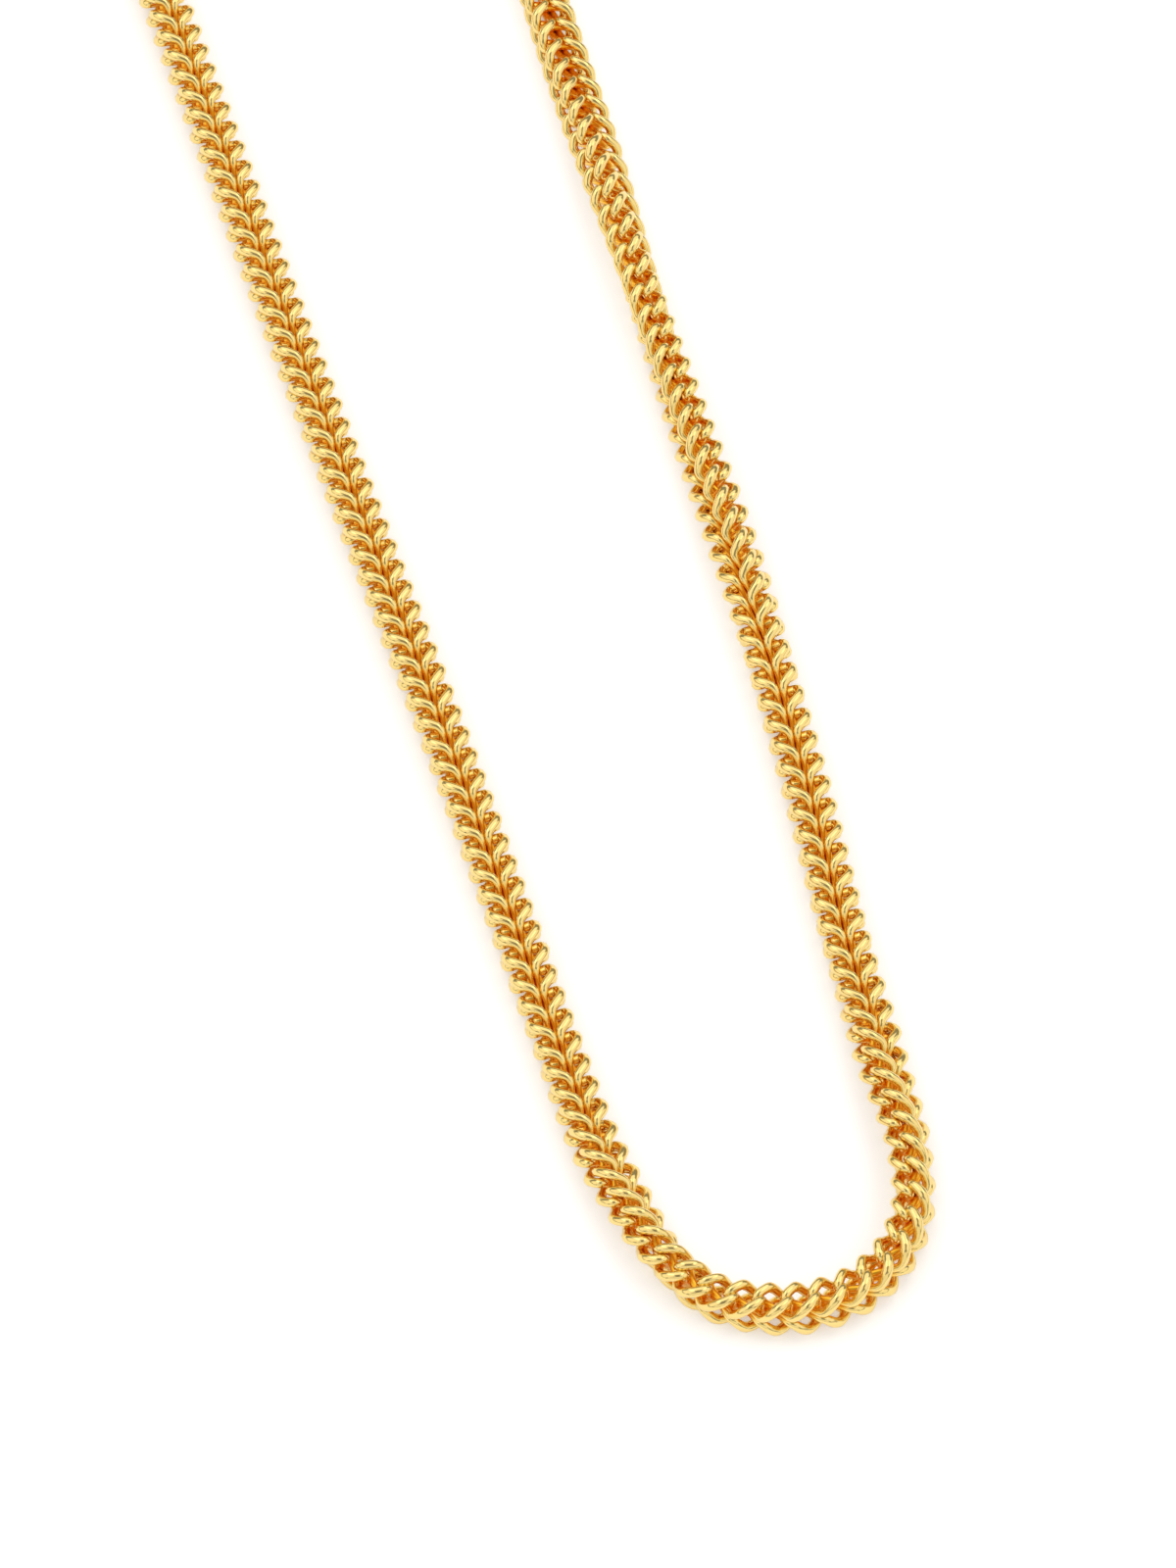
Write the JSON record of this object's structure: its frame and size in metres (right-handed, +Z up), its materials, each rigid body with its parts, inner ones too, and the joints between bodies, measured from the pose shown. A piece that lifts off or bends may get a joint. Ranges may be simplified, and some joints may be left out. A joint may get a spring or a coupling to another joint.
{
  "type": "foxtail neck chain",
  "caption": "Closed loop of four-sided foxtail neck chain in polished yellow gold, lying flat, with a plain barrel clasp closing it.",
  "frame": {"origin": "on the surface the chain lies on, under the centre of the whole loop's box", "axes": "+Z up from the surface, +Y from the bend that hangs at the front of the neck to the clasp, +X to the viewer's right"},
  "size_m": [0.0886, 0.2234, 0.006],
  "materials": {
    "gold": "polished yellow gold",
    "clasp_gold": "polished yellow gold"
  },
  "bodies": {
    "root": {"chain": "gold", "clasp": "clasp_gold"}
  },
  "joints": []
}
